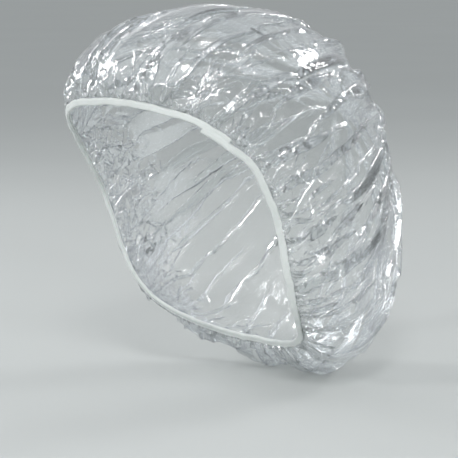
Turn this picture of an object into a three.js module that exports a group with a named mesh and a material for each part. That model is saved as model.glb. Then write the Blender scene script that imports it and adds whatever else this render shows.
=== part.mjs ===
import * as THREE from "three";

// A shower cap as it is worn. One sheet of clear film is gathered into a folded white binding, and
// elastic strands in the fold draw that edge in round the head. A seam closes the binding on the
// film, and the binding's two ends lap at the wearer's left temple.
// Millimetres. +x is the wearer's left, -y the front and +z up. The origin is the centre of the
// head opening.

// The head opening, from forehead to nape and from ear to ear, and how far its front is tipped up.
const OPENING_LENGTH = 224.6;
const OPENING_WIDTH = 148;
const OPENING_TILT_DEG = 48.8;

// Guides of the left half, from the forehead round to the nape. Each has its place on the opening, as
// shares of half its length and half its width, and how far the binding's fold lies off the opening's
// plane there. Then come the way the film leaves it (a longer one leaves straighter) and how far out
// from the crown pole the film is drawn straight. The right half mirrors them.
const FOREHEAD = { along: 1, across: 0, off: 0, leave: [0, -6, 60], drawn: 130 };
const TEMPLE = { along: 0.714, across: 0.892, off: 7.8, leave: [14, 5, 52], drawn: 112 };
const EAR_FRONT = { along: 0.041, across: 1, off: 0, leave: [27, 29, 14], drawn: 92 };
const EAR_BACK = { along: -0.58, across: 0.824, off: -15.9, leave: [40, 44, -27], drawn: 100 };
const NAPE = { along: -1, across: 0, off: 0, leave: [0, 40, -68], drawn: 146 };

// The crown pole, where the film's long folds run together, and how far it faces up from the back.
const POLE = [0, 148, 72.5];
const POLE_RISE_DEG = 30;

// The film: one thin sheet, with its edge tucked between the binding's legs.
const FILM_THICKNESS = 0.6;
const FILM_TUCK = 2.1;
const FILM_LEAD = 1.4; // how far it runs on straight once it is out of the binding

// The folds that the gathering leaves in it, each from the binding to the crown pole. Places on that
// way are shares of it, 0 at the binding and 1 at the pole.
const GATHERS = 17;
const GATHER_DEPTH = 3; // half height where a fold is fullest, close to the binding
const CROWN_DEPTH = 2; // half height on the crown
const CROWN_PLACE = 0.5; // where that is reached
const FADE_PLACE = 0.7; // from where the folds fade towards the pole
const UNEVENNESS = 0.3; // share by which folds differ round the cap
const UNEVEN_SPELLS = 3; // how often they grow and shrink once round
const CROWDING_DEG = 70; // how far a fold may lie from its even place, of the 360 from fold to fold
const CROWDING_SPELLS = 2; // how often the folds crowd together once round

// The binding: a strip folded over the film's edge, with elastic strands in the fold.
const STRIP_THICKNESS = 0.4;
const STRAND_DIAMETER = 0.6;
const STRANDS = 2;

// The lap of the binding's ends. The outer end covers the inner one and lies nearer the face.
const LAP_TIP_DEG = 37; // where the outer end lies, turned from the forehead to the wearer's left
const LAP_LENGTH = 20;
const LAP_APPROACH = 20; // over which the binding draws in again from the lap to its plain run

// The seam through binding and film, and the tack across the lap's outer end.
const THREAD_DIAMETER = 0.36;
const SEAM_INSET = 1.2; // from the binding's raw edges
const TACK_INSET = 1.4; // from the outer end
const TACK_LENGTH = 6.4;
const TACK_ZIGZAGS = 4;

// Clearance between pieces that touch.
const SEAT_GAP = 0.3;

// How finely the curved forms are faceted.
const COLUMNS_PER_GATHER = 4;
const STRAND_SIDES = 6;
const THREAD_SIDES = 4;
const CROWN_ROWS = [0.07, 0.16, 0.27, 0.4, 0.54, 0.7, 0.86]; // places of the film's rows on that way

// Sizes that follow from the ones above.
const COLUMNS = GATHERS * COLUMNS_PER_GATHER;
const STACK_HEIGHT = STRANDS * (SEAT_GAP + STRAND_DIAMETER) + SEAT_GAP; // strands above the fold
const FILM_EDGE = STRIP_THICKNESS + STACK_HEIGHT;
const BINDING_HEIGHT = FILM_EDGE + FILM_TUCK;
const SLOT_HALF = Math.max(FILM_THICKNESS, STRAND_DIAMETER) / 2 + SEAT_GAP;
const LAP_SHIFT = STRIP_THICKNESS + STACK_HEIGHT; // towards the face, so that both stacks fit
const LAP_SPREAD = STRIP_THICKNESS + SEAT_GAP; // outwards, round the inner end
const SEAM_HEIGHT = BINDING_HEIGHT - SEAM_INSET;

const materials = {
  film: new THREE.MeshStandardMaterial({
    color: "#e8edef", roughness: 0.15, metalness: 0, transparent: true, opacity: 0.3, side: THREE.DoubleSide,
  }),
  binding: new THREE.MeshStandardMaterial({ color: "#d9e1de", roughness: 0.85, metalness: 0 }),
  strand: new THREE.MeshStandardMaterial({ color: "#d8cfb8", roughness: 0.6, metalness: 0 }),
  thread: new THREE.MeshStandardMaterial({ color: "#f2f4f3", roughness: 0.7, metalness: 0 }),
};

// All the guides in order round the opening, the right half mirrored from the left.
function allGuides() {
  const tilt = THREE.MathUtils.degToRad(OPENING_TILT_DEG);
  const toForehead = new THREE.Vector3(0, -Math.cos(tilt), Math.sin(tilt));
  const toCrown = new THREE.Vector3(0, Math.sin(tilt), Math.cos(tilt));
  const placed = ({ along, across, off, leave, drawn }, side) => ({
    fold: new THREE.Vector3((side * across * OPENING_WIDTH) / 2, 0, 0)
      .addScaledVector(toForehead, (along * OPENING_LENGTH) / 2)
      .addScaledVector(toCrown, off),
    leave: new THREE.Vector3(side * leave[0], leave[1], leave[2]),
    drawn,
  });
  const left = [FOREHEAD, TEMPLE, EAR_FRONT, EAR_BACK, NAPE].map((guide) => placed(guide, 1));
  const right = [EAR_BACK, EAR_FRONT, TEMPLE].map((guide) => placed(guide, -1));
  return [...left, ...right];
}

const guides = allGuides();

// Share of one guide at an angle away from it, on the smooth closed curve through all the guides.
function guideShare(away) {
  const half = guides.length / 2;
  let sum = 1 + Math.cos(half * away);
  for (let wave = 1; wave < half; wave++) {
    sum += 2 * Math.cos(wave * away);
  }
  return sum / guides.length;
}

function guideAt(angle) {
  const fold = new THREE.Vector3();
  const leave = new THREE.Vector3();
  let drawn = 0;
  guides.forEach((guide, index) => {
    const share = guideShare(angle - (index * 2 * Math.PI) / guides.length);
    fold.addScaledVector(guide.fold, share);
    leave.addScaledVector(guide.leave, share);
    drawn += guide.drawn * share;
  });
  return { fold, leave, drawn };
}

// The opening at one angle: the fold's point, the way the film rises from it, and the way out of the cap.
function openingAt(angle) {
  const nearby = 0.001;
  const { fold, leave, drawn } = guideAt(angle);
  const along = guideAt(angle + nearby).fold.sub(guideAt(angle - nearby).fold).normalize();
  const strength = leave.length();
  const rise = leave.clone().addScaledVector(along, -leave.dot(along)).normalize();
  const out = new THREE.Vector3().crossVectors(along, rise);
  return { fold, rise, out, strength, drawn };
}

const columnAngle = (column) => (column * 2 * Math.PI) / COLUMNS;
const openings = Array.from({ length: COLUMNS }, (_, column) => openingAt(columnAngle(column)));

// A point of the opening's section, by its height above the fold and its distance out from the film.
function sectionPoint({ fold, rise, out }, height, outwards) {
  return fold.clone().addScaledVector(rise, height).addScaledVector(out, outwards);
}

// Joins rings of points into one closed body. Each ring runs anticlockwise seen from the next one.
function loft(rings, outline) {
  const sides = outline.length;
  const points = rings.flat();
  const faces = [];
  for (let ring = 0; ring + 1 < rings.length; ring++) {
    for (let side = 0; side < sides; side++) {
      const next = (side + 1) % sides;
      const a = ring * sides + side;
      const b = ring * sides + next;
      faces.push([a, b, b + sides], [a, b + sides, a + sides]);
    }
  }
  const lastRing = (rings.length - 1) * sides;
  for (const [a, b, c] of THREE.ShapeUtils.triangulateShape(outline, [])) {
    faces.push([c, b, a], [lastRing + a, lastRing + b, lastRing + c]);
  }
  return body(points, faces);
}

function body(points, faces) {
  const geometry = new THREE.BufferGeometry().setFromPoints(points);
  geometry.setIndex(faces.flat());
  geometry.computeVertexNormals();
  return geometry;
}

const roundOutline = (diameter, sides) => Array.from({ length: sides }, (_, side) => {
  const angle = ((side + 0.5) * 2 * Math.PI) / sides;
  return new THREE.Vector2(Math.cos(angle), Math.sin(angle)).multiplyScalar(diameter / 2);
});

// Lengths along the opening are counted in columns, of this mean length.
const columnLength = openings.reduce((sum, { fold }, column) => (
  sum + fold.distanceTo(openings[(column + 1) % COLUMNS].fold) / COLUMNS
), 0);
const tipColumn = (LAP_TIP_DEG / 360) * COLUMNS;
const lapColumns = LAP_LENGTH / columnLength;
const approachColumns = LAP_APPROACH / columnLength;

// The binding at one column of its course: the opening's section there, how far the strip has
// shifted towards the face, and its slot's half width.
function courseAt(column) {
  const drift = 1 - THREE.MathUtils.smoothstep(column - tipColumn, lapColumns, lapColumns + approachColumns);
  return {
    opening: openingAt(columnAngle(column)),
    shift: -LAP_SHIFT * drift,
    slotHalf: SLOT_HALF + LAP_SPREAD * drift,
  };
}

// The course's stops: from the outer end over the lap, then on round the opening to the inner end.
function bindingCourse() {
  const shortest = 0.25; // columns between the lap's ends and the next stop
  const lapSteps = Math.ceil(lapColumns);
  const lap = Array.from({ length: lapSteps + 1 }, (_, step) => tipColumn + (lapColumns * step) / lapSteps);
  const lapEnd = lap[lapSteps];
  const innerEnd = lapEnd + COLUMNS;
  const first = Math.ceil(lapEnd + shortest);
  const last = Math.floor(innerEnd - shortest);
  const round = Array.from({ length: last - first + 1 }, (_, step) => first + step);
  return [...lap, ...round, innerEnd].map(courseAt);
}

const course = bindingCourse();

// The folded strip's section at one stop, as heights above the fold and distances out from the film.
function foldedOutline({ slotHalf }) {
  const side = slotHalf + STRIP_THICKNESS;
  const corner = STRIP_THICKNESS; // the fold's rounding
  const outerLeg = [[BINDING_HEIGHT, side], [corner, side], [0, side - corner]];
  const innerLeg = [[0, corner - side], [corner, -side], [BINDING_HEIGHT, -side]];
  const slot = [
    [BINDING_HEIGHT, -slotHalf], [STRIP_THICKNESS, -slotHalf],
    [STRIP_THICKNESS, slotHalf], [BINDING_HEIGHT, slotHalf],
  ];
  return [...outerLeg, ...innerLeg, ...slot].map(([height, outwards]) => new THREE.Vector2(height, outwards));
}

function edgeBinding() {
  const outlines = course.map(foldedOutline);
  const rings = course.map(({ opening, shift }, stop) => (
    outlines[stop].map(({ x, y }) => sectionPoint(opening, shift + x, y))
  ));
  return loft(rings, outlines[0]);
}

// A round cord that keeps its place in the binding's section all the way along the course.
function cordAlongBinding(diameter, sides, height, outwardsAt) {
  const outline = roundOutline(diameter, sides);
  const rings = course.map((stop) => (
    outline.map(({ x, y }) => sectionPoint(stop.opening, stop.shift + height + x, outwardsAt(stop) + y))
  ));
  return loft(rings, outline);
}

// Strands lie in the fold one above the other, below the film's edge.
function elasticStrand(place) {
  const height = STRIP_THICKNESS + SEAT_GAP + STRAND_DIAMETER / 2 + place * (SEAT_GAP + STRAND_DIAMETER);
  return cordAlongBinding(STRAND_DIAMETER, STRAND_SIDES, height, () => 0);
}

// How far out from the film a thread lies when it rests on one of the binding's legs.
const onLeg = ({ slotHalf }) => slotHalf + STRIP_THICKNESS + SEAT_GAP + THREAD_DIAMETER / 2;

function seamThread(side) {
  return cordAlongBinding(THREAD_DIAMETER, THREAD_SIDES, SEAM_HEIGHT, (stop) => side * onLeg(stop));
}

// The tack zigzags across the outer end of the lap, between the fold's rounding and the seam.
function lapTack() {
  const low = STRIP_THICKNESS;
  const high = SEAM_HEIGHT - THREAD_DIAMETER / 2 - SEAT_GAP;
  const turns = 2 * TACK_ZIGZAGS;
  const advance = TACK_LENGTH / turns;
  // The thread's own width and its mitred turns stay between those heights.
  const reach = (high - low - THREAD_DIAMETER) / (1 + THREAD_DIAMETER / advance);
  const mitre = Math.hypot(advance, reach) / advance;

  const outline = roundOutline(THREAD_DIAMETER, THREAD_SIDES);
  const rings = Array.from({ length: turns + 1 }, (_, turn) => {
    const stop = courseAt(tipColumn + (TACK_INSET + turn * advance) / columnLength);
    const height = (low + high) / 2 + (turn % 2 ? 0.5 : -0.5) * reach;
    return outline.map(({ x, y }) => (
      sectionPoint(stop.opening, stop.shift + height + mitre * x, onLeg(stop) + y)
    ));
  });
  return loft(rings, outline);
}

// Unit ways across the crown pole: out of the cap, and up towards the forehead.
const poleRise = THREE.MathUtils.degToRad(POLE_RISE_DEG);
const poleOut = new THREE.Vector3(0, Math.cos(poleRise), Math.sin(poleRise));
const poleUp = new THREE.Vector3(0, -Math.sin(poleRise), Math.cos(poleRise));
const pole = new THREE.Vector3(...POLE);

// The film's smooth way from the binding to the crown pole, in one column.
function meridian(column) {
  const angle = columnAngle(column);
  const { fold, rise, strength, drawn } = openings[column];
  const start = sectionPoint(openings[column], BINDING_HEIGHT + FILM_LEAD, 0);
  const leaving = fold.clone().addScaledVector(rise, strength);
  const arriving = pole.clone().addScaledVector(poleUp, drawn * Math.cos(angle));
  arriving.x += drawn * Math.sin(angle);
  return new THREE.CubicBezierCurve3(start, leaving, arriving, pole);
}

// How far a fold stands out of the smooth film at one place.
function foldHeight(column, place) {
  const angle = columnAngle(column);
  const settling = THREE.MathUtils.smoothstep(place, CROWN_ROWS[0], CROWN_PLACE);
  const fading = 1 - THREE.MathUtils.smoothstep(place, FADE_PLACE, 1);
  const depth = THREE.MathUtils.lerp(GATHER_DEPTH, CROWN_DEPTH, settling) * fading;
  const uneven = 1 + UNEVENNESS * Math.sin(UNEVEN_SPELLS * angle);
  const crowding = THREE.MathUtils.degToRad(CROWDING_DEG) * Math.sin(CROWDING_SPELLS * angle);
  return depth * uneven * Math.cos(GATHERS * angle + crowding);
}

// Ways out of a grid of points, from the neighbours of each point round and along the film.
function waysOut(grid) {
  return grid.map((row, index) => row.map((_, column) => {
    const round = row[(column + 1) % COLUMNS].clone().sub(row[(column + COLUMNS - 1) % COLUMNS]);
    const above = index + 1 < grid.length ? grid[index + 1][column] : pole;
    const along = above.clone().sub(grid[Math.max(0, index - 1)][column]);
    return round.cross(along).normalize();
  }));
}

// The film is a thin closed shell on a grid of rows, from its edge in the binding to the pole.
function crownFilm() {
  const columns = Array.from({ length: COLUMNS }, (_, column) => column);
  const meridians = columns.map(meridian);
  const smooth = CROWN_ROWS.map((place) => meridians.map((curve) => curve.getPoint(place)));
  const folded = waysOut(smooth).map((row, index) => row.map((way, column) => (
    smooth[index][column].clone().addScaledVector(way, foldHeight(column, CROWN_ROWS[index]))
  )));
  const tucked = [FILM_EDGE, BINDING_HEIGHT + FILM_LEAD].map((height) => (
    openings.map((opening) => sectionPoint(opening, height, 0))
  ));
  const middle = [...tucked, ...folded];
  const ways = waysOut(middle);
  tucked.forEach((_, index) => {
    ways[index] = openings.map(({ out }) => out);
  });

  const skin = (side) => {
    const grid = middle.map((row, index) => row.map((point, column) => (
      point.clone().addScaledVector(ways[index][column], (side * FILM_THICKNESS) / 2)
    )));
    return [...grid.flat(), pole.clone().addScaledVector(poleOut, (side * FILM_THICKNESS) / 2)];
  };
  const outer = skin(1);
  const inner = skin(-1);
  const toInner = outer.length;
  const tip = outer.length - 1;

  const faces = [];
  const addBoth = (a, b, c) => {
    faces.push([a, b, c], [toInner + c, toInner + b, toInner + a]);
  };
  for (const column of columns) {
    const next = (column + 1) % COLUMNS;
    faces.push([column, toInner + column, toInner + next], [column, toInner + next, next]);
    for (let row = 0; row + 1 < middle.length; row++) {
      const a = row * COLUMNS + column;
      const b = row * COLUMNS + next;
      addBoth(a, b, b + COLUMNS);
      addBoth(a, b + COLUMNS, a + COLUMNS);
    }
    const lastRow = (middle.length - 1) * COLUMNS;
    addBoth(lastRow + column, lastRow + next, tip);
  }
  return body([...outer, ...inner], faces);
}

const cap = new THREE.Group();

function addPiece(name, geometry, material) {
  const mesh = new THREE.Mesh(geometry, material);
  mesh.name = name;
  cap.add(mesh);
}

addPiece("crown_film", crownFilm(), materials.film);
addPiece("edge_binding", edgeBinding(), materials.binding);
for (let place = 0; place < STRANDS; place++) {
  addPiece(`elastic_strand_${place + 1}`, elasticStrand(place), materials.strand);
}
addPiece("needle_thread", seamThread(1), materials.thread);
addPiece("looper_thread", seamThread(-1), materials.thread);
addPiece("lap_tack", lapTack(), materials.thread);

export default cap;
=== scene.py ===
import math

import bpy
import numpy as np
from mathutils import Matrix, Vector


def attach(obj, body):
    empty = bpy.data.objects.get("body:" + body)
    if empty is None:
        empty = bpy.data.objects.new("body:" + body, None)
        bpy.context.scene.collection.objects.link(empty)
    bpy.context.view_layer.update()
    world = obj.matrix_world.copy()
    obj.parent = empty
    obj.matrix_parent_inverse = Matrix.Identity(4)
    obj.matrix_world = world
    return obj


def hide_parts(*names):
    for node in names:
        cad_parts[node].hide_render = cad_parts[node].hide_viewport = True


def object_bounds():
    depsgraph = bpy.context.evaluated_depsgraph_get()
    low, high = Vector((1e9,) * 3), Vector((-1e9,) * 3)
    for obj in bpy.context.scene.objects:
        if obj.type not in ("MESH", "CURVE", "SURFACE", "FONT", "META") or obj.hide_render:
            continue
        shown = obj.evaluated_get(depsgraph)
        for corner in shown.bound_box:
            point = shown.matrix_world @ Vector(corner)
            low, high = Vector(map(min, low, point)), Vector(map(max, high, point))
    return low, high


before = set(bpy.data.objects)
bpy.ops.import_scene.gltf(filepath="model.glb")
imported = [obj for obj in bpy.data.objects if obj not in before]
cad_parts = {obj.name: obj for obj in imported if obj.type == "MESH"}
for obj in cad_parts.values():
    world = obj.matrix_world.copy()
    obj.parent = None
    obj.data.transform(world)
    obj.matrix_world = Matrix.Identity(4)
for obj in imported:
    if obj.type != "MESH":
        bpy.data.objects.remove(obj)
cad_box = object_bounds()

# The studio: a pale floor just under the cap, soft lamps over it, and the camera at the angle from
# which the cap is shown, a little above it and to its left. None of it belongs to the cap.
MM = 0.001
FLOOR_COLOURS = "#c0c3c2", "#c4c7c6"
FLOOR_PATCHES = 1000 / 3  # width of a slightly paler patch of the floor's paint
FLOOR_SIZE = 40.0  # in metres, as the lamps' places and sizes and the camera's distance are
FLOOR_DROP = 3.2  # below the solids, since the film's folds reach 3 mm lower than they do
SKY_COLOUR = "#d3d6d8"
HORIZON_STRENGTH, OVERHEAD_STRENGTH = 0.5, 1.05
OVERHEAD_FROM = 0.9  # upward share of a way, from which the light is at its brightest
SOFT_LAMPS = (
    # name, place, width, height and power in watts
    ("soft_key", (0.9, -1.0, 1.1), 0.3, 0.3, 8),
    ("soft_front", (-0.35, -1.6, 0.75), 0.2, 0.2, 6),
    ("soft_side", (1.5, -0.5, 0.55), 0.16, 0.16, 5),
    ("strip_left", (-1.3, -0.2, 0.7), 0.1, 0.9, 6),
    ("strip_back", (0.5, 1.5, 0.9), 0.5, 0.1, 6),
)
GLINT_SIZE, GLINT_POWER = 0.13, 5
GLINT_LAMPS = (
    ("glint_near", (0.2, -1.3, 1.2)),
    ("glint_left", (-0.95, -0.55, 0.95)),
    ("glint_right", (1.3, 0.3, 1.0)),
    ("glint_low", (0.6, -1.7, 0.3)),
    ("glint_high", (0.75, -0.6, 1.5)),
    ("glint_top", (0.3, -0.7, 1.7)),
    ("glint_over", (0.0, 0.4, 1.7)),
    ("glint_camera", (1.35, -1.05, 0.5)),
)
CAMERA_TARGET = Vector((8.8, 25.0, -2.5)) * MM
CAMERA_AZIMUTH_DEG, CAMERA_RISE_DEG = 42, 8
CAMERA_DISTANCE = 1.3
LENS_MM, SENSOR_MM = 154.8, 36


def linear(hex_colour):
    """An sRGB hex colour as linear red, green, blue and alpha."""
    shares = [int(hex_colour[place:place + 2], 16) / 255 for place in (1, 3, 5)]
    return [c / 12.92 if c <= 0.04045 else ((c + 0.055) / 1.055) ** 2.4 for c in shares] + [1.0]


def per_metre(size):
    """The scale of a noise whose spots are this many millimetres wide."""
    return 1 / (size * MM)


def add_node(tree, kind, values=None, links=None, **settings):
    """Adds one node to a tree, with its settings, its inputs' values and what its inputs link from."""
    node = tree.nodes.new(kind)
    for name, value in settings.items():
        setattr(node, name, value)
    for socket, value in (values or {}).items():
        node.inputs[socket].default_value = value
    for socket, source in (links or {}).items():
        tree.links.new(source, node.inputs[socket])
    return node


def empty_material(name):
    """A material with an empty node tree, and that tree."""
    material = bpy.data.materials.new(name)
    material.use_nodes = True
    material.node_tree.nodes.clear()
    return material, material.node_tree


def in_scene(name, data):
    """An object of this data, at the origin."""
    thing = bpy.data.objects.new(name, data)
    bpy.context.collection.objects.link(thing)
    return thing


def new_piece(name, points, faces, material):
    """An object at the origin from points in millimetres."""
    mesh = bpy.data.meshes.new(name)
    mesh.from_pydata((np.asarray(points) * MM).tolist(), [], np.asarray(faces).tolist())
    mesh.polygons.foreach_set("use_smooth", [True] * len(mesh.polygons))
    mesh.materials.append(material)
    return in_scene(name, mesh)


def add_lamp(name, spot, width, height, power):
    """A soft rectangular lamp turned to the cap."""
    lamp = bpy.data.lights.new(name, "AREA")
    lamp.shape, lamp.size, lamp.size_y, lamp.energy = "RECTANGLE", width, height, power
    lamp_object = in_scene(name, lamp)
    lamp_object.location = spot
    lamp_object.rotation_euler = (Vector(spot) - CAMERA_TARGET).to_track_quat("Z", "Y").to_euler()
    return lamp_object


# Matt painted board: evenly pale, with a faint unevenness in its paint.
floor_board, tree = empty_material("matt_painted_board")
place = add_node(tree, "ShaderNodeTexCoord")
patches = add_node(tree, "ShaderNodeTexNoise", {"Scale": per_metre(FLOOR_PATCHES), "Detail": 2.0},
                   {"Vector": place.outputs["Object"]})
paint = add_node(tree, "ShaderNodeMix", {"A": linear(FLOOR_COLOURS[0]), "B": linear(FLOOR_COLOURS[1])},
                 {"Factor": patches.outputs["Fac"]}, data_type="RGBA")
board = add_node(tree, "ShaderNodeBsdfDiffuse", links={"Color": paint.outputs["Result"]})
add_node(tree, "ShaderNodeOutputMaterial", links={"Surface": board.outputs["BSDF"]})

floor_height = cad_box[0][2] / MM - FLOOR_DROP
half_floor = FLOOR_SIZE / 2 / MM
floor_corners = [(x * half_floor, y * half_floor, floor_height)
                 for x, y in ((-1, -1), (1, -1), (1, 1), (-1, 1))]
floor = new_piece("floor", floor_corners, [(0, 1, 2, 3)], floor_board)

scene = bpy.context.scene
scene.view_settings.view_transform = "Standard"
scene.cycles.transparent_max_bounces = 64  # many layers of film lie behind each other
scene.cycles.glossy_bounces = 6  # with more, light goes on between the folds until they look pale all over

# The light beyond the lamps: brighter overhead, and at the horizon as bright as the far floor.
scene.world = bpy.data.worlds.new("studio")
scene.world.use_nodes = True
tree = scene.world.node_tree
tree.nodes.clear()
way = add_node(tree, "ShaderNodeTexCoord")
ways = add_node(tree, "ShaderNodeSeparateXYZ", links={"Vector": way.outputs["Generated"]})
overhead = add_node(tree, "ShaderNodeMapRange",
                    {"From Min": 0.0, "From Max": OVERHEAD_FROM,
                     "To Min": HORIZON_STRENGTH, "To Max": OVERHEAD_STRENGTH},
                    {"Value": ways.outputs["Z"]})
sky = add_node(tree, "ShaderNodeBackground", {"Color": linear(SKY_COLOUR)}, {"Strength": overhead.outputs[0]})
add_node(tree, "ShaderNodeOutputWorld", links={"Surface": sky.outputs[0]})

for soft_lamp in SOFT_LAMPS:
    add_lamp(*soft_lamp)
for name, spot in GLINT_LAMPS:
    glint = add_lamp(name, spot, GLINT_SIZE, GLINT_SIZE, GLINT_POWER)
    glint.visible_diffuse = False  # only gloss shows these, so they add no light to the tape and the floor

azimuth, rise_angle = math.radians(CAMERA_AZIMUTH_DEG), math.radians(CAMERA_RISE_DEG)
towards_camera = Vector((math.sin(azimuth) * math.cos(rise_angle), -math.cos(azimuth) * math.cos(rise_angle),
                         math.sin(rise_angle)))
lens = bpy.data.cameras.new("camera")
lens.sensor_width, lens.lens = SENSOR_MM, LENS_MM
camera = in_scene("camera", lens)
camera.location = CAMERA_TARGET + towards_camera * CAMERA_DISTANCE
camera.rotation_euler = towards_camera.to_track_quat("Z", "Y").to_euler()
scene.camera = camera

# The elastic strands: two fine rubber cords that lie stretched in the binding's fold, one over the
# other, and draw the cap's edge in so that it grips. Extruded natural rubber, held only by the fold.
OPENING_LENGTH, OPENING_WIDTH, OPENING_TILT_DEG = 224.6, 148.0, 48.8
# Guides round the opening: place along and across it as shares of its halves, height off its plane,
# the way the film leaves there, and how far the film is drawn straight from the crown pole.
FOREHEAD = (1.0, 0.0, 0.0, (0, -6, 60), 130)
TEMPLE = (0.714, 0.892, 7.8, (14, 5, 52), 112)
EAR_FRONT = (0.041, 1.0, 0.0, (27, 29, 14), 92)
EAR_BACK = (-0.58, 0.824, -15.9, (40, 44, -27), 100)
NAPE = (-1.0, 0.0, 0.0, (0, 40, -68), 146)
STRAND_DIAMETER = 0.6
STRAND_HEIGHTS = (1.0, 1.9)  # above the binding's fold
STRAND_STOPS = 320
CORD_SIDES = 8
STRIP_THICKNESS = 0.4
SLOT_HALF = 0.6
LAP_TIP_DEG = 37  # where the binding's outer end lies, round from the front to the left
LAP_LENGTH = 20.0
LAP_APPROACH = 20.0  # over which the binding draws in again from the lap
LAP_SHIFT = 2.5  # away from the film
LAP_SPREAD = 0.7  # outwards, round the inner end
EDGE_WAVES = ((13, 0.25, 0.5), (22, 0.17, 2.0), (37, 0.1, 4.0))  # waves once round, half height, start
RIM_SAMPLES = 721

tilt = math.radians(OPENING_TILT_DEG)
to_forehead = np.array((0, -math.cos(tilt), math.sin(tilt)))
to_crown = np.array((0, math.sin(tilt), math.cos(tilt)))
fold_guides, leave_guides, pull_guides = [], [], []
for side, guides in ((1, (FOREHEAD, TEMPLE, EAR_FRONT, EAR_BACK, NAPE)), (-1, (EAR_BACK, EAR_FRONT, TEMPLE))):
    for along, across, off, leave, pull in guides:
        fold_guides.append(to_forehead * along * OPENING_LENGTH / 2 + to_crown * off
                           + np.array((side * across * OPENING_WIDTH / 2, 0, 0)))
        leave_guides.append((side * leave[0], leave[1], leave[2]))
        pull_guides.append(pull)


def unit(vectors):
    """The same ways at length 1."""
    return vectors / np.linalg.norm(vectors, axis=-1, keepdims=True)


def ramp(value, low, high):
    """A straight rise from 0 at low to 1 at high."""
    return np.clip((value - low) / (high - low), 0, 1)


def eased(value, low, high):
    """A smooth step from 0 at low to 1 at high."""
    share = ramp(value, low, high)
    return share * share * (3 - 2 * share)


def opening_at(angle):
    """Round the opening: fold points, ways along it, up the film and out, and how far the film is drawn."""
    away = np.asarray(angle)[:, None] - np.arange(8) * math.pi / 4
    share = (1 + 2 * np.cos(away) + 2 * np.cos(2 * away) + 2 * np.cos(3 * away) + np.cos(4 * away)) / 8
    slope = -(np.sin(away) + 2 * np.sin(2 * away) + 3 * np.sin(3 * away) + 2 * np.sin(4 * away)) / 4
    leave = share @ np.array(leave_guides, float)
    along = unit(slope @ np.array(fold_guides))
    rise = unit(leave - along * (leave * along).sum(1, keepdims=True))
    out = np.cross(along, rise)
    strength, pull = np.linalg.norm(leave, axis=1), share @ np.array(pull_guides)
    return share @ np.array(fold_guides), along, rise, out, strength, pull


# The binding's course starts at its outer end, goes over the lap and once round to its inner end.
rim = opening_at(np.linspace(0, 2 * math.pi, RIM_SAMPLES))[0]
RIM_LENGTH = np.linalg.norm(np.diff(rim, axis=0), axis=1).sum()
COURSE_LENGTH = RIM_LENGTH + LAP_LENGTH


class Course:
    """The binding's section at distances along its course from the outer end, in millimetres."""

    def __init__(self, distance):
        self.distance = np.asarray(distance, float)
        angle = math.radians(LAP_TIP_DEG) + self.distance / RIM_LENGTH * 2 * math.pi
        self.fold, self.along, self.rise, self.out, _, _ = opening_at(angle)
        drift = 1 - eased(self.distance, LAP_LENGTH, LAP_LENGTH + LAP_APPROACH)
        waves = sum(height * np.sin(count * angle + start) for count, height, start in EDGE_WAVES)
        self.shift = waves - LAP_SHIFT * drift
        self.slot_half = SLOT_HALF + LAP_SPREAD * drift

    def point(self, height, outwards):
        """Points at heights above the fold and distances out from the film."""
        raised = self.fold + self.rise * (self.shift + height)[:, None]
        return raised + self.out * (outwards + 0 * height)[:, None]


def node_tree(name, sizes):
    """A geometry node tree with named inputs for its sizes, its group input, and its inputs' identifiers."""
    tree = bpy.data.node_groups.new(name, "GeometryNodeTree")
    tree.interface.new_socket("Geometry", in_out="INPUT", socket_type="NodeSocketGeometry")
    tree.interface.new_socket("Geometry", in_out="OUTPUT", socket_type="NodeSocketGeometry")
    identifiers = {}
    for size, kind in sizes.items():
        socket = tree.interface.new_socket(size, in_out="INPUT", socket_type=f"NodeSocket{kind}")
        identifiers[size] = socket.identifier
    return tree, add_node(tree, "NodeGroupInput"), identifiers


def grown(piece, tree, identifiers, **values):
    """Runs a geometry node tree on a piece with these inputs and keeps the result as a plain mesh."""
    modifier = piece.modifiers.new(tree.name, "NODES")
    modifier.node_group = tree
    for name, value in values.items():
        modifier[identifiers[name]] = value
    done = piece.evaluated_get(bpy.context.evaluated_depsgraph_get())
    mesh = bpy.data.meshes.new_from_object(done)
    piece.modifiers.clear()
    piece.data = mesh
    mesh.name = piece.name
    return piece


# One cord along a path, with rounded corners: strands and the tack.
cord_tree, given, cord_inputs = node_tree("cord_along_path", {
    "diameter": "Float", "corner": "Float", "sides": "Int", "finish": "Material"})
path = add_node(cord_tree, "GeometryNodeMeshToCurve", links={"Mesh": given.outputs["Geometry"]})
rounded = add_node(cord_tree, "GeometryNodeFilletCurve", {"Count": 3},
                   {"Curve": path.outputs["Curve"], "Radius": given.outputs["corner"]}, mode="POLY")
radius = add_node(cord_tree, "ShaderNodeMath", {1: 0.5}, {0: given.outputs["diameter"]}, operation="MULTIPLY")
section = add_node(cord_tree, "GeometryNodeCurvePrimitiveCircle",
                   links={"Radius": radius.outputs[0], "Resolution": given.outputs["sides"]})
cord = add_node(cord_tree, "GeometryNodeCurveToMesh", {"Fill Caps": True},
                {"Curve": rounded.outputs["Curve"], "Profile Curve": section.outputs["Curve"]})
smooth = add_node(cord_tree, "GeometryNodeSetShadeSmooth", links={"Geometry": cord.outputs["Mesh"]})
real = add_node(cord_tree, "GeometryNodeRealizeInstances", links={"Geometry": smooth.outputs["Geometry"]})
finished = add_node(cord_tree, "GeometryNodeSetMaterial",
                    links={"Geometry": real.outputs["Geometry"], "Material": given.outputs["finish"]})
add_node(cord_tree, "NodeGroupOutput", links={"Geometry": finished.outputs["Geometry"]})


def bare_points(name, points, joined):
    """An object of points for a tree to work on, joined into one open run or single."""
    mesh = bpy.data.meshes.new(name)
    runs = [(at, at + 1) for at in range(len(points) - 1)] if joined else []
    mesh.from_pydata((points * MM).tolist(), runs, [])
    return in_scene(name, mesh)


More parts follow.
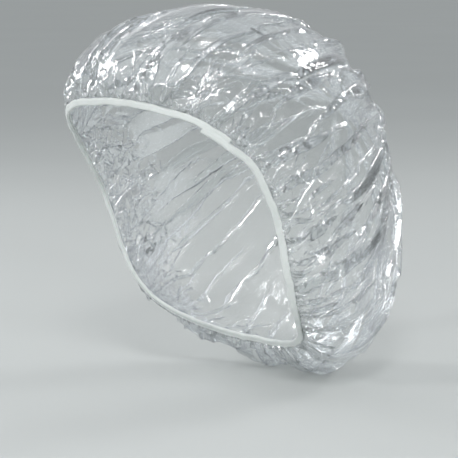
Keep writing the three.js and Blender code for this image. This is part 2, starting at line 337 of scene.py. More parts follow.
# Natural rubber, extruded and dusted with talc: dull and creamy, with a slightly powdery skin.
POWDER_SIZE = 10 / 9  # far coarser than talc, which would be too fine to show
rubber, tree = empty_material("natural_rubber_strand")
place = add_node(tree, "ShaderNodeTexCoord")
powder = add_node(tree, "ShaderNodeTexNoise", {"Scale": per_metre(POWDER_SIZE), "Detail": 2.0},
                  {"Vector": place.outputs["Object"]})
cream = add_node(tree, "ShaderNodeMix", {"A": linear("#cfc4a6"), "B": linear("#ded6c2")},
                 {"Factor": powder.outputs["Fac"]}, data_type="RGBA")
grain = add_node(tree, "ShaderNodeBump", {"Strength": 0.3, "Distance": 0.0001},
                 {"Height": powder.outputs["Fac"]})
skin = add_node(tree, "ShaderNodeBsdfPrincipled", {"Roughness": 0.7, "IOR": 1.52},
                {"Base Color": cream.outputs["Result"], "Normal": grain.outputs["Normal"]})
add_node(tree, "ShaderNodeOutputMaterial", links={"Surface": skin.outputs["BSDF"]})

strand_course = Course(np.linspace(0, COURSE_LENGTH, STRAND_STOPS))
for number, height in enumerate(STRAND_HEIGHTS, 1):
    line = strand_course.point(np.full(STRAND_STOPS, height), 0.0)
    strand = grown(bare_points(f"rubber_strand_{number}", line, joined=True), cord_tree, cord_inputs,
                   diameter=STRAND_DIAMETER * MM, corner=0.0, sides=CORD_SIDES, finish=rubber)
    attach(strand, "root")
    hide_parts(f"elastic_strand_{number}")

# The edge binding: a narrow strip of white woven elastic tape, folded lengthwise over the film's edge
# and sewn shut. Its outer end laps over the inner one at the left temple, a little further forward.
BINDING_HEIGHT = 4.6
STITCH_PITCH = 2.6
TAPE_STOPS = 760
FOLD_STEPS = 9  # round the fold
LEG_STEPS = 5
TRIM = 0.15  # by which the raw edges lie under the full height
PUCKER = 0.07  # of the raw edges, from stitch to stitch
# How much the tape's raw edges, its fold, its fullness and its place wander, and over what length.
EDGE_WANDER, EDGE_SPELL = 0.28, 11
FOLD_WANDER, FOLD_SPELL = 0.18, 13
FULLNESS, FULLNESS_WANDER, FULLNESS_SPELL = 0.18, 0.14, 8
SWAY, SWAY_SPELL = 0.2, 20
SPELL_SPREAD = (0.6, 1.7)  # shares of a spell between which its waves' lengths lie
WAVE_PEAK = 1.4  # about the highest that such waves reach together
tape_chance = np.random.default_rng(5)


def soft_wander(distance, spell, count=7):
    """A smooth uneven wave along the course, between about -1 and 1, with spells of about that length."""
    waves = []
    for _ in range(count):
        length = spell * tape_chance.uniform(*SPELL_SPREAD)
        waves.append(np.sin(2 * np.pi * distance / length + tape_chance.uniform(0, 6.28)))
    return np.sum(waves, axis=0) / count ** 0.5 / WAVE_PEAK


course = Course(np.linspace(0, COURSE_LENGTH, TAPE_STOPS))
pucker = np.cos(2 * np.pi * course.distance / STITCH_PITCH)
outer_top = BINDING_HEIGHT - TRIM + EDGE_WANDER * soft_wander(course.distance, EDGE_SPELL) + PUCKER * pucker
inner_top = BINDING_HEIGHT - TRIM + EDGE_WANDER * soft_wander(course.distance, EDGE_SPELL) - PUCKER * pucker
fold_low = FOLD_WANDER * soft_wander(course.distance, FOLD_SPELL)
swell = FULLNESS + FULLNESS_WANDER * soft_wander(course.distance, FULLNESS_SPELL)
sway = SWAY * soft_wander(course.distance, SWAY_SPELL)


def tape_face(half, low):
    """One face of the folded tape, from the outer leg's raw edge round the fold to the inner leg's."""
    rows = []
    for step in range(LEG_STEPS):
        rise = 1 - step / LEG_STEPS
        rows.append(course.point(low + half + (outer_top - low - half) * rise, sway + half))
    for step in range(FOLD_STEPS + 1):
        turn = math.pi * step / FOLD_STEPS
        rows.append(course.point(low + half - half * math.sin(turn), sway + half * math.cos(turn)))
    for step in range(1, LEG_STEPS + 1):
        rise = step / LEG_STEPS
        rows.append(course.point(low + half + (inner_top - low - half) * rise, sway - half))
    return rows


outside = tape_face(course.slot_half + STRIP_THICKNESS + swell, fold_low)
inside = tape_face(course.slot_half + swell / 2, fold_low + STRIP_THICKNESS)
ring = np.stack(outside + inside[::-1])
rows, stops = ring.shape[:2]
tape_faces = []
for row in range(rows):
    here = row * stops + np.arange(stops - 1)
    after = (row + 1) % rows * stops + np.arange(stops - 1)
    tape_faces.append(np.stack([here, after, after + 1, here + 1], 1))
for stop, turned in ((0, -1), (stops - 1, 1)):
    row = np.arange(rows // 2 - 1)
    end_cap = np.stack([row, row + 1, rows - 2 - row, rows - 1 - row], 1) * stops + stop
    tape_faces.append(end_cap[:, ::turned])

# Woven elastic tape, white polyester over rubber: matt, with fine ribs along it and a soft bloom of fibres.
RIB_PITCH, PICK_PITCH = 0.75, 0.55  # the real ribs are half as wide, which would be too fine to show
FUZZ_SIZE, TONE_SIZE = 100 / 42, 100 / 7  # tufts of fibre, and stretches of slightly whiter tape
tape_white, tree = empty_material("woven_white_elastic_tape")
where = add_node(tree, "ShaderNodeUVMap", uv_map="tape")
ways = add_node(tree, "ShaderNodeSeparateXYZ", links={"Vector": where.outputs["UV"]})
picks = add_node(tree, "ShaderNodeMath", {1: 2 * math.pi / PICK_PITCH}, {0: ways.outputs["X"]},
                 operation="MULTIPLY")
ribs = add_node(tree, "ShaderNodeMath", {1: 2 * math.pi / RIB_PITCH}, {0: ways.outputs["Y"]},
                operation="MULTIPLY")
pick_wave = add_node(tree, "ShaderNodeMath", links={0: picks.outputs[0]}, operation="SINE")
rib_wave = add_node(tree, "ShaderNodeMath", links={0: ribs.outputs[0]}, operation="SINE")
woven = add_node(tree, "ShaderNodeMath", {1: 0.5}, {0: pick_wave.outputs[0], 2: rib_wave.outputs[0]},
                 operation="MULTIPLY_ADD")
place = add_node(tree, "ShaderNodeTexCoord")
fuzz = add_node(tree, "ShaderNodeTexNoise", {"Scale": per_metre(FUZZ_SIZE), "Detail": 4.0, "Roughness": 0.65},
                {"Vector": place.outputs["Object"]})
relief = add_node(tree, "ShaderNodeMath", {1: 0.35}, {0: woven.outputs[0], 2: fuzz.outputs["Fac"]},
                  operation="MULTIPLY_ADD")
weave = add_node(tree, "ShaderNodeBump", {"Strength": 0.45, "Distance": 0.00018},
                 {"Height": relief.outputs[0]})
tone = add_node(tree, "ShaderNodeTexNoise", {"Scale": per_metre(TONE_SIZE), "Detail": 3.0},
                {"Vector": place.outputs["Object"]})
white = add_node(tree, "ShaderNodeMix", {"A": linear("#dadfdd"), "B": linear("#e8ecea")},
                 {"Factor": tone.outputs["Fac"]}, data_type="RGBA")
tape = add_node(tree, "ShaderNodeBsdfPrincipled",
                {"Roughness": 0.82, "IOR": 1.5, "Sheen Weight": 0.15, "Sheen Roughness": 0.4,
                 "Subsurface Weight": 0.5, "Subsurface Radius": (1.0, 1.0, 1.0), "Subsurface Scale": 0.0008},
                {"Base Color": white.outputs["Result"], "Normal": weave.outputs["Normal"]})
add_node(tree, "ShaderNodeOutputMaterial", links={"Surface": tape.outputs["BSDF"]})

binding = new_piece("folded_edge_tape", ring.reshape(-1, 3), np.concatenate(tape_faces), tape_white)
around = np.concatenate([[0], np.cumsum(np.linalg.norm(np.diff(ring[:, stops // 2], axis=0), axis=1))])
uv_layer = binding.data.uv_layers.new(name="tape")
loops = np.empty(len(binding.data.loops), int)
binding.data.loops.foreach_get("vertex_index", loops)
uv_places = np.stack([course.distance[loops % stops], around[loops // stops]], 1)
uv_layer.uv.foreach_set("vector", uv_places.ravel())
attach(binding, "root")
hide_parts("edge_binding")

# The crown film: one round sheet of clear polyethylene, blown thin and cut out, with its edge
# gathered into the binding to less than half its length. Worn, it stands puffed out, in fine crinkles
# at the binding that run together into long folds towards the crown.
POLE = np.array((0, 148, 72.5))
POLE_RISE_DEG = 30
FILM_EDGE = 2.5  # height of the film's edge above the binding's fold
FILM_LEAD = 1.4  # how far the film runs on straight out of the binding
FLAT_RADIUS = 275.0
FINE_GAP, COARSE_GAP = 2.7, 4.9  # between the sheet's points at first, at its edge and at its middle
GAP_GROWTH = 0.8  # under 1, the gaps widen faster near the edge
FEWEST_POINTS = 6  # on the smallest ring of them
NEAR = 0.1  # how close to the pole or the binding a point counts as on it
# The main folds, each from the binding to the crown pole, at places that are shares of that way.
GATHERS = 17
GATHER_DEPTH, FULL_PLACE = 3.0, 0.07  # half height where a fold is fullest, close to the binding
CROWN_DEPTH, CROWN_PLACE = 1.3, 0.5  # lower than the solid's, since fine folds add to them on the crown
FADE_PLACE = 0.75  # from where the folds fade towards the pole
UNEVENNESS, UNEVEN_SPELLS = 0.3, 3  # how much the folds differ, and how often they grow and shrink once round
CROWDING_DEG, CROWDING_SPELLS = 70, 2  # how far they lie off their even places, and how often they crowd
PINCH_HEIGHT, PINCH_RADIUS = 2.2, 30.0  # where the folds meet at the pole
# Spare length of the film over the smooth form. A zone is a pair of insets from the sheet's edge,
# between which something passes from its state at the edge to its state further in.
EDGE_RISE_SPARE, CROWN_RISE_SPARE, RISE_ZONE = 0.46, 0.06, (40, 130)  # share of it along the folds
CROWN_SPARE, CROWN_ZONE = 0.25, (50, 170)  # more of it round the crown than a flat disc has
POLE_LOSS, POLE_ZONE = 0.2, (225, 265)  # share of that which is gone near the pole
FINE_SLACK, SLACK_ZONE = 0.035, (50, 140)  # for the fine crinkles, nearly all of it near the edge
CROWN_CALM = 0.95  # share of the fine crinkles that the crown lacks
# How the film buckles: how far it may stand off the main folds, and what moves it.
EDGE_ROOM, ROOM_GAIN, ROOM_ZONE = 0.8, 1.2, (8, 138)
POLE_ROOM_LOSS, POLE_ROOM_ZONE = 0.5, (235, 275)
ROOM_INWARDS, ROOM_OUTWARDS = 0.75, 1.5  # shares of that room
PRESS, CROWN_PRESS, PRESS_ZONE = 0.003, 2, (60, 130)  # how far it settles in a round, more on the crown
STRETCH_PULL = 1.3  # over 1, so that the sheet's edges come to their length sooner
DRIFT, LONGEST_DRIFT = 0.85, 0.6  # share of a round's move that the next repeats, and its limit
ROUNDS, QUICK_ROUNDS, FINE_ROUNDS = 300, 160, 160
GROWING = 0.6  # share of the rounds in which the film grows to its full length
BENDING, FINE_BENDING = 0.08, 0.06  # how much the film keeps its bends wide
# What it starts from: folds at the binding, on the crown and at the pole, and a little chance.
FOLD_SEEDS = ((110, 0, 40), (64, 20, 90))  # folds once round, between these insets
SEEDS_EACH, SEED_HEIGHT, SEED_RISE, SEED_FADE = 5, 0.35, 15, 40
SEED_SPREAD = 5  # the count of folds is up to a fifth more or less
SEED_WANDER, SEED_WANDER_LENGTHS = 0.5, (25, 60)
SEED_ZONE = (50, 90)  # over which the folds at the binding give way to those on the crown
CROWN_SEED, CROWN_SEED_SHARE = 0.9, 3  # this many for each main fold
CROSS_SEED, CROSS_FOLDS = 0.5, 41
SWING, SWING_LENGTH = 0.9, 70  # by which these swing to and fro
POLE_SEED, POLE_FOLDS, POLE_SWING, POLE_SEED_ZONE = 1.1, 23, 1.5, (180, 215)
CHANCE_HEIGHT, FINE_CHANCE_HEIGHT, FINE_CROWN_CALM = 0.12, 0.06, 0.8
film_chance = np.random.default_rng(11)

pole_rise = math.radians(POLE_RISE_DEG)
pole_up = np.array((0, -math.sin(pole_rise), math.cos(pole_rise)))
pole_out = np.array((0, math.cos(pole_rise), math.sin(pole_rise)))


def film_lines(angle, steps=48):
    """Smooth lines of the film from its edge in the binding to the crown pole."""
    fold, _, rise, _, strength, pull = opening_at(angle)
    start = fold + rise * (BINDING_HEIGHT + FILM_LEAD)
    leaving = fold + rise * strength[:, None]
    round_pole = np.sin(angle)[:, None] * np.array((1, 0, 0)) + np.cos(angle)[:, None] * pole_up
    arriving = POLE + pull[:, None] * round_pole
    t = np.linspace(0, 1, steps)[None, :, None]
    curve = ((1 - t) ** 3 * start[:, None] + 3 * (1 - t) ** 2 * t * leaving[:, None]
             + 3 * (1 - t) * t ** 2 * arriving[:, None] + t ** 3 * POLE)
    return np.concatenate([(fold + rise * FILM_EDGE)[:, None], curve], axis=1)


def on_smooth_film(angle, share):
    """Points at shares of the length from edge to pole, that length, and their places for the folds."""
    lines = film_lines(angle)
    gaps = np.linalg.norm(np.diff(lines, axis=1), axis=2)
    lengths = np.concatenate([np.zeros((len(angle), 1)), np.cumsum(gaps, 1)], 1)
    want = np.clip(share, 0, 1) * lengths[:, -1]
    before = np.clip((lengths < want[:, None]).sum(1) - 1, 0, lines.shape[1] - 2)
    row = np.arange(len(angle))
    part = ((want - lengths[row, before]) / np.maximum(gaps[row, before], 1e-9))[:, None]
    curve_place = np.clip((before - 1 + part[:, 0]) / (lines.shape[1] - 2), 0, 1)
    return lines[row, before] * (1 - part) + lines[row, before + 1] * part, lengths[:, -1], curve_place


def crowding_at(angle):
    """How far a main fold lies off its even place there, as a phase."""
    return math.radians(CROWDING_DEG) * np.sin(CROWDING_SPELLS * angle)


def main_fold(angle, place):
    """How far a main fold stands out of the smooth film at one place."""
    depth = GATHER_DEPTH + (CROWN_DEPTH - GATHER_DEPTH) * eased(place, FULL_PLACE, CROWN_PLACE)
    depth = depth * np.clip(place / FULL_PLACE, 0, 1) * (1 - eased(place, FADE_PLACE, 1))
    uneven = 1 + UNEVENNESS * np.sin(UNEVEN_SPELLS * angle)
    return depth * uneven * np.cos(GATHERS * angle + crowding_at(angle))


def flat_sheet():
    """The cut sheet, flat: points on rings, closer together at its edge, and triangles between them."""
    inset, gaps = [0.0, BINDING_HEIGHT - FILM_EDGE], [FINE_GAP, FINE_GAP]
    while inset[-1] + COARSE_GAP < FLAT_RADIUS - COARSE_GAP / 2:
        gaps.append(FINE_GAP + (COARSE_GAP - FINE_GAP) * (inset[-1] / FLAT_RADIUS) ** GAP_GROWTH)
        inset.append(inset[-1] + gaps[-1])
    counts = [max(FEWEST_POINTS, round(2 * math.pi * (FLAT_RADIUS - at) / gap))
              for at, gap in zip(inset, gaps)]
    turns = [(np.arange(count) + 0.5 * (ring % 2)) / count for ring, count in enumerate(counts)]
    points = [(FLAT_RADIUS - at) * np.stack([np.cos(2 * np.pi * turn), np.sin(2 * np.pi * turn)], 1)
              for at, turn in zip(inset, turns)] + [np.zeros((1, 2))]
    first = np.concatenate([[0], np.cumsum(counts)])
    triangles = []
    for ring in range(len(counts) - 1):
        here, above = counts[ring], counts[ring + 1]
        a = b = 0
        while a < here or b < above:
            next_a = turns[ring][(a + 1) % here] + (a + 1) // here
            next_b = turns[ring + 1][(b + 1) % above] + (b + 1) // above
            corner_a, corner_b = first[ring] + a % here, first[ring + 1] + b % above
            if b == above or (a < here and next_a <= next_b):
                a += 1
                triangles.append((corner_a, first[ring] + a % here, corner_b))
            else:
                b += 1
                triangles.append((corner_a, first[ring + 1] + b % above, corner_b))
    last = first[len(counts) - 1]
    for a in range(counts[-1]):
        triangles.append((last + a, last + (a + 1) % counts[-1], first[-1]))
    return np.concatenate(points), np.array(triangles)


def sheet_edges(triangles):
    """Each edge once, the edge of each triangle's sides, and the two corners across each inner edge."""
    sides = np.concatenate([triangles[:, [0, 1]], triangles[:, [1, 2]], triangles[:, [2, 0]]])
    edges, number = np.unique(np.sort(sides, axis=1), axis=0, return_inverse=True)
    number = number.ravel()
    corners = np.concatenate([triangles[:, 2], triangles[:, 0], triangles[:, 1]])
    order = np.argsort(number, kind="stable")
    shared = np.nonzero(number[order][1:] == number[order][:-1])[0]
    across = np.stack([corners[order][shared], corners[order][shared + 1]], 1)
    return edges, number.reshape(3, -1).T, across


def finer(flat, points, triangles):
    """The sheet with every edge halved."""
    edges, number, _ = sheet_edges(triangles)
    a, b, c = triangles.T
    ab, bc, ca = (number + len(flat)).T
    quarters = ((a, ab, ca), (ab, b, bc), (ca, bc, c), (ab, bc, ca))
    halved = [np.concatenate([values, values[edges].mean(1)]) for values in (flat, points)]
    return halved[0], halved[1], np.concatenate([np.stack(corners, 1) for corners in quarters])


class Sheet:
    """The sheet as it is held: the smooth film under each of its points, and how long each edge really is."""

    def __init__(self, flat, triangles, slack):
        self.inset = FLAT_RADIUS - np.linalg.norm(flat, axis=1)
        self.angle = np.arctan2(flat[:, 1], flat[:, 0])
        share = self.inset / FLAT_RADIUS
        self.smooth, self.length, place = on_smooth_film(self.angle, share)
        step = 0.01
        round_way = on_smooth_film(self.angle + step, share)[0] - on_smooth_film(self.angle - step, share)[0]
        rise_way = on_smooth_film(self.angle, share + step)[0] - on_smooth_film(self.angle, share - step)[0]
        out = np.cross(round_way, rise_way)
        out[self.inset > FLAT_RADIUS - NEAR] = pole_out
        self.out = unit(out)
        pinch = PINCH_HEIGHT * np.clip((self.inset - FLAT_RADIUS + PINCH_RADIUS) / PINCH_RADIUS, 0, 1) ** 2
        self.smooth = self.smooth + self.out * (main_fold(self.angle, place) + pinch)[:, None]
        self.held = self.inset < BINDING_HEIGHT - FILM_EDGE + NEAR
        self.edges, _, across = sheet_edges(triangles)
        self.slack = slack
        self.sizes = []
        for ends in (self.edges, across):
            smooth_length = np.linalg.norm(np.diff(self.smooth[ends], axis=1)[:, 0], axis=1)
            shares = np.maximum(np.bincount(ends.ravel(), minlength=len(flat)), 1)
            self.sizes.append((ends, self.flat_length(ends), smooth_length, shares))

    def flat_length(self, ends):
        """Length of the film between points, longer round the crown than in a flat disc, so that it folds."""
        a, b = ends.T
        spare = CROWN_RISE_SPARE + (EDGE_RISE_SPARE - CROWN_RISE_SPARE) * (1 - eased(self.inset, *RISE_ZONE))
        meridian = self.length + spare * (FLAT_RADIUS - self.length)
        up = (self.inset[a] - self.inset[b]) * (meridian[a] + meridian[b]) / 2 / FLAT_RADIUS
        turn = np.abs((self.angle[a] - self.angle[b] + np.pi) % (2 * np.pi) - np.pi)
        inset = (self.inset[a] + self.inset[b]) / 2
        crown = 1 + CROWN_SPARE * eased(inset, *CROWN_ZONE) * (1 - POLE_LOSS * eased(inset, *POLE_ZONE))
        radius = np.sqrt(np.maximum((FLAT_RADIUS - self.inset[a]) * (FLAT_RADIUS - self.inset[b]), 0))
        slack = 1 + self.slack * (1 - CROWN_CALM * ramp(inset, *SLACK_ZONE))
        return slack * np.hypot(up, crown * radius * turn)


def buckled(sheet, points, rounds, growing, bending):
    """Lets the film take its real length: it can't shrink, so it buckles, within the room it has each way."""
    drift = np.zeros_like(points)
    room = EDGE_ROOM + ROOM_GAIN * ramp(sheet.inset, *ROOM_ZONE)
    room = room * (1 - POLE_ROOM_LOSS * eased(sheet.inset, *POLE_ROOM_ZONE))
    press = PRESS * (1 + CROWN_PRESS * eased(sheet.inset, *PRESS_ZONE))[:, None]
    for step in range(rounds):
        grown_share = min(1.0, (step + 1) / (growing * rounds)) if growing else 1.0
        start = points
        points = points + DRIFT * drift
        for (ends, full, smooth, shares), pull in zip(sheet.sizes, (STRETCH_PULL, bending)):
            gap = points[ends[:, 1]] - points[ends[:, 0]]
            now = np.maximum(np.linalg.norm(gap, axis=1), 1e-6)
            move = gap * (0.5 * pull * (1 - (smooth + (full - smooth) * grown_share) / now))[:, None]
            for axis in range(3):
                points[:, axis] += (np.bincount(ends[:, 0], move[:, axis], len(points))
                                    - np.bincount(ends[:, 1], move[:, axis], len(points))) / shares
        points -= sheet.out * press
        stand = ((points - sheet.smooth) * sheet.out).sum(1)
        points += sheet.out * (np.clip(stand, -ROOM_INWARDS * room, ROOM_OUTWARDS * room) - stand)[:, None]
        points[sheet.held] = sheet.smooth[sheet.held]
        drift = points - start
        drift *= np.minimum(1, LONGEST_DRIFT / np.maximum(np.linalg.norm(drift, axis=1, keepdims=True), 1e-9))
    return points


def creases(points, edges):
    """How sharply the film is bent at each point: how far off its neighbours it lies, by their distance."""
    ways = points[edges[:, 1]] - points[edges[:, 0]]
    gaps = np.linalg.norm(ways, axis=1)
    total_gap = sum(np.bincount(end, gaps, len(points)) for end in edges.T)
    total_way = [np.bincount(edges[:, 0], way, len(points)) - np.bincount(edges[:, 1], way, len(points))
                 for way in ways.T]
    return np.linalg.norm(np.stack(total_way, 1), axis=1) / total_gap


flat, triangles = flat_sheet()
sheet = Sheet(flat, triangles, slack=0.0)
start = np.zeros(len(flat))
for folds, low, high in FOLD_SEEDS:
    for _ in range(SEEDS_EACH):
        count = folds + film_chance.integers(-folds // SEED_SPREAD, folds // SEED_SPREAD + 1)
        fading = np.clip((high - sheet.inset) / SEED_FADE, 0, 1)
        here = np.clip((sheet.inset - low) / SEED_RISE, 0, 1) * fading
        wander_length = film_chance.uniform(*SEED_WANDER_LENGTHS)
        wander = SEED_WANDER * np.sin(sheet.inset / wander_length + film_chance.uniform(0, 6))
        start += here * SEED_HEIGHT * np.cos(count * sheet.angle + film_chance.uniform(0, 6.28) + wander)
on_crown = eased(sheet.inset, *SEED_ZONE)
swing = SWING * np.sin(sheet.inset / SWING_LENGTH + 2 * sheet.angle)
crown_folds = CROWN_SEED_SHARE * (GATHERS * sheet.angle + crowding_at(sheet.angle)) + swing
start += on_crown * CROWN_SEED * np.cos(crown_folds)
start += on_crown * CROSS_SEED * np.cos(CROSS_FOLDS * sheet.angle + 2 * swing)
pole_folds = POLE_FOLDS * sheet.angle + POLE_SWING * np.sin(3 * sheet.angle)
start += eased(sheet.inset, *POLE_SEED_ZONE) * POLE_SEED * np.cos(pole_folds)
start += film_chance.normal(0, CHANCE_HEIGHT, len(flat)) * (1 - CROWN_CALM * on_crown)
film_points = buckled(sheet, sheet.smooth + sheet.out * np.where(sheet.held, 0, start)[:, None],
                      ROUNDS, GROWING, BENDING)
flat, film_points, triangles = finer(flat, film_points, triangles)
sheet = Sheet(flat, triangles, slack=FINE_SLACK)
calm = 1 - FINE_CROWN_CALM * eased(sheet.inset, *SEED_ZONE)
ripple = np.where(sheet.held, 0, film_chance.normal(0, FINE_CHANCE_HEIGHT, len(flat)) * calm)
film_points += sheet.out * ripple[:, None]
film_points = buckled(sheet, film_points, FINE_ROUNDS, 0, FINE_BENDING)

# Blown polyethylene film, thin and clear: it mirrors the lamps in glints and streaks along its folds,
# is clear to look through where it faces the eye and greyer edge on, and has a faint milky haze.
CRINKLE_SIZE = 100 / 17  # the film's faint unevenness between its folds
GLOSS_TINT, CLEAR_TINT, HAZE_TINT = "#fbfcfd", "#f9fafa", "#eef2f2"
SEAM_WHITENING, SEAM_ZONE = 0.25, (3, 16)  # added to the creases in the close gathers at the seam
film_clear, tree = empty_material("clear_polyethylene_film")
place = add_node(tree, "ShaderNodeTexCoord")
crinkle = add_node(tree, "ShaderNodeTexNoise",
                   {"Scale": per_metre(CRINKLE_SIZE), "Detail": 3.0, "Roughness": 0.55},
                   {"Vector": place.outputs["Object"]})
bump = add_node(tree, "ShaderNodeBump", {"Strength": 0.22, "Distance": 0.001},
                {"Height": crinkle.outputs["Fac"]})
sharp = add_node(tree, "ShaderNodeBsdfGlossy", {"Color": linear(GLOSS_TINT), "Roughness": 0.06},
                 {"Normal": bump.outputs["Normal"]})
soft = add_node(tree, "ShaderNodeBsdfGlossy", {"Color": linear(GLOSS_TINT), "Roughness": 0.2},
                {"Normal": bump.outputs["Normal"]})
gloss = add_node(tree, "ShaderNodeMixShader", {0: 0.3}, {1: sharp.outputs[0], 2: soft.outputs[0]})
clear = add_node(tree, "ShaderNodeBsdfTransparent", {"Color": linear(CLEAR_TINT)})
edge_on = add_node(tree, "ShaderNodeFresnel", {"IOR": 1.52}, {"Normal": bump.outputs["Normal"]})
both_faces = add_node(tree, "ShaderNodeMath", {1: 1.95}, {0: edge_on.outputs["Fac"]},
                      operation="MULTIPLY", use_clamp=True)
pane = add_node(tree, "ShaderNodeMixShader",
                links={0: both_faces.outputs[0], 1: clear.outputs[0], 2: gloss.outputs[0]})
milky = add_node(tree, "ShaderNodeBsdfTranslucent", {"Color": linear(HAZE_TINT)})
matt = add_node(tree, "ShaderNodeBsdfDiffuse", {"Color": linear(HAZE_TINT)})
haze = add_node(tree, "ShaderNodeMixShader", {0: 0.5}, {1: milky.outputs[0], 2: matt.outputs[0]})
bent = add_node(tree, "ShaderNodeAttribute", attribute_name="crease")
whitening = add_node(tree, "ShaderNodeMapRange",
                     {"From Min": 0.4, "From Max": 0.66, "To Min": 0.025, "To Max": 0.34},
                     {"Value": bent.outputs["Fac"]})
film_look = add_node(tree, "ShaderNodeMixShader",
                     links={0: whitening.outputs[0], 1: pane.outputs[0], 2: haze.outputs[0]})
add_node(tree, "ShaderNodeOutputMaterial", links={"Surface": film_look.outputs[0]})

film = new_piece("crown_film_sheet", film_points, triangles, film_clear)
crease = creases(film_points, sheet.edges) + SEAM_WHITENING * (1 - eased(sheet.inset, *SEAM_ZONE))
film.data.attributes.new("crease", "FLOAT", "POINT").data.foreach_set("value", crease)
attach(film, "root")
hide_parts("crown_film")

# The seam's threads: polyester sewing thread in a chain stitch through the tape and the film. Outside
# it lies in plain stitches, end to end; inside, each stitch is a loop that holds the next.
SEAM_HEIGHT = 3.4
THREAD_DIAMETER = 0.36
THREAD_SINK = 0.06  # of the thread into the tape
THREAD_SIDES = 6
ARCH_SINK, ARCH_STEPS = -0.8, 8  # a stitch's ends dip into the tape by this many diameters
LOOP_WIDTH, LOOP_STEPS = 0.9, 14
LOOP_REACH = 1.18  # times half a stitch, so that the loops overlap
LOOP_LEAN_DEG = 3  # each loop rises over the one before


def stitch_tree(name, looped):
    """One stitch on every point of the seam, lying along it: a low arch, or a loop."""
    tree, given, inputs = node_tree(name, {
        "length": "Float", "width": "Float", "diameter": "Float", "finish": "Material"})
    half = add_node(tree, "ShaderNodeMath", {1: 0.5}, {0: given.outputs["length"]}, operation="MULTIPLY")
    if looped:
        circle = add_node(tree, "GeometryNodeCurvePrimitiveCircle", {"Resolution": LOOP_STEPS, "Radius": 1.0})
        wide = add_node(tree, "ShaderNodeMath", {1: 0.5}, {0: given.outputs["width"]}, operation="MULTIPLY")
        reach = add_node(tree, "ShaderNodeMath", {1: LOOP_REACH}, {0: half.outputs[0]}, operation="MULTIPLY")
        sizes = add_node(tree, "ShaderNodeCombineXYZ", {"Z": 1.0},
                         {"X": reach.outputs[0], "Y": wide.outputs[0]})
        shape = add_node(tree, "GeometryNodeTransform", {"Rotation": (0.0, math.radians(LOOP_LEAN_DEG), 0.0)},
                         {"Geometry": circle.outputs["Curve"], "Scale": sizes.outputs["Vector"]})
    else:
        back = add_node(tree, "ShaderNodeMath", {1: -0.5}, {0: given.outputs["length"]}, operation="MULTIPLY")
        down = add_node(tree, "ShaderNodeMath", {1: ARCH_SINK}, {0: given.outputs["diameter"]},
                        operation="MULTIPLY")
        ends = [add_node(tree, "ShaderNodeCombineXYZ", links={"X": end.outputs[0], "Z": down.outputs[0]})
                for end in (back, half)]
        middle = add_node(tree, "ShaderNodeCombineXYZ", links={"Z": given.outputs["diameter"]})
        shape = add_node(tree, "GeometryNodeCurveQuadraticBezier", {"Resolution": ARCH_STEPS},
                         {"Start": ends[0].outputs[0], "Middle": middle.outputs[0],
                          "End": ends[1].outputs[0]})
    radius = add_node(tree, "ShaderNodeMath", {1: 0.5}, {0: given.outputs["diameter"]}, operation="MULTIPLY")
    section = add_node(tree, "GeometryNodeCurvePrimitiveCircle", {"Resolution": THREAD_SIDES},
                       {"Radius": radius.outputs[0]})
    stitch = add_node(tree, "GeometryNodeCurveToMesh", {"Fill Caps": True},
                      {"Curve": shape.outputs[0], "Profile Curve": section.outputs["Curve"]})
    along, out = [add_node(tree, "GeometryNodeInputNamedAttribute", {"Name": way}, data_type="FLOAT_VECTOR")
                  for way in ("along", "out")]
    turned = add_node(tree, "FunctionNodeAxesToRotation",
                      links={"Primary Axis": out.outputs["Attribute"],
                             "Secondary Axis": along.outputs["Attribute"]},
                      primary_axis="Z", secondary_axis="X")
    placed = add_node(tree, "GeometryNodeInstanceOnPoints",
                      links={"Points": given.outputs["Geometry"], "Instance": stitch.outputs["Mesh"],
                             "Rotation": turned.outputs["Rotation"]})
    real = add_node(tree, "GeometryNodeRealizeInstances", links={"Geometry": placed.outputs["Instances"]})
    smooth = add_node(tree, "GeometryNodeSetShadeSmooth", links={"Geometry": real.outputs["Geometry"]})
    finished = add_node(tree, "GeometryNodeSetMaterial",
                        links={"Geometry": smooth.outputs["Geometry"], "Material": given.outputs["finish"]})
    add_node(tree, "NodeGroupOutput", links={"Geometry": finished.outputs["Geometry"]})
    return tree, inputs


def on_tape(course_part, side):
    """How far out from the film a thread lies on the tape's outer or inner face."""
    face = np.interp(course_part.distance, course.distance, swell + side * sway)
    return course_part.slot_half + STRIP_THICKNESS + face + THREAD_DIAMETER / 2 - THREAD_SINK


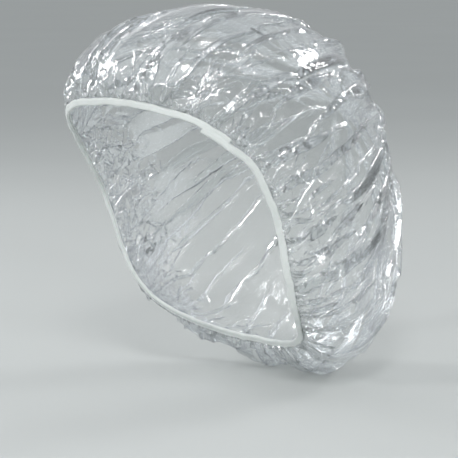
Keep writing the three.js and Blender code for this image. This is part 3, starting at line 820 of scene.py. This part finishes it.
# Spun polyester thread: bright white, with a fine twist and a slight silky gloss.
TWIST_SIZE = 10 / 26  # about the thread's own width
thread_white, tree = empty_material("spun_polyester_thread")
place = add_node(tree, "ShaderNodeTexCoord")
twist = add_node(tree, "ShaderNodeTexNoise", {"Scale": per_metre(TWIST_SIZE), "Detail": 2.0},
                 {"Vector": place.outputs["Object"]})
ply = add_node(tree, "ShaderNodeBump", {"Strength": 0.4, "Distance": 0.00006},
               {"Height": twist.outputs["Fac"]})
pale = add_node(tree, "ShaderNodeMix", {"A": linear("#dfe4e2"), "B": linear("#f0f3f2")},
                {"Factor": twist.outputs["Fac"]}, data_type="RGBA")
spun = add_node(tree, "ShaderNodeBsdfPrincipled", {"Roughness": 0.6, "IOR": 1.5, "Sheen Weight": 0.1},
                {"Base Color": pale.outputs["Result"], "Normal": ply.outputs["Normal"]})
add_node(tree, "ShaderNodeOutputMaterial", links={"Surface": spun.outputs["BSDF"]})

stitch_count = round(COURSE_LENGTH / STITCH_PITCH)
seam = Course((np.arange(stitch_count) + 0.5) * COURSE_LENGTH / stitch_count)
SEAM_RUNS = (("seam_stitches", "needle_thread", False, 1), ("seam_loops", "looper_thread", True, -1))
for name, node, looped, side in SEAM_RUNS:
    row = seam.point(np.full(stitch_count, SEAM_HEIGHT), side * on_tape(seam, side))
    thread = bare_points(name, row, joined=False)
    for way, vectors in (("along", seam.along), ("out", side * seam.out)):
        attribute = thread.data.attributes.new(way, "FLOAT_VECTOR", "POINT")
        attribute.data.foreach_set("vector", vectors.ravel())
    tree, inputs = stitch_tree(name, looped)
    grown(thread, tree, inputs, length=STITCH_PITCH * MM, width=LOOP_WIDTH * MM,
          diameter=THREAD_DIAMETER * MM, finish=thread_white)
    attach(thread, "root")
    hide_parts(node)

# The lap's tack: a short close zigzag of the same thread, sewn across the tape's outer end through
# both layers, so that the lap can't open.
TACK_INSET, TACK_LENGTH, TACK_ZIGZAGS = 1.4, 6.4, 4
TACK_LOW, TACK_HIGH = 0.75, 2.6
TACK_CORNER = 0.22  # radius of the thread's turns
corners = 2 * TACK_ZIGZAGS + 1
tack_course = Course(TACK_INSET + np.linspace(0, TACK_LENGTH, corners))
tack_heights = np.where(np.arange(corners) % 2, TACK_HIGH, TACK_LOW)
tack_line = tack_course.point(tack_heights, on_tape(tack_course, 1))
tack = grown(bare_points("lap_zigzag", tack_line, joined=True), cord_tree, cord_inputs,
             diameter=THREAD_DIAMETER * MM, corner=TACK_CORNER * MM, sides=CORD_SIDES, finish=thread_white)
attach(tack, "root")
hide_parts("lap_tack")
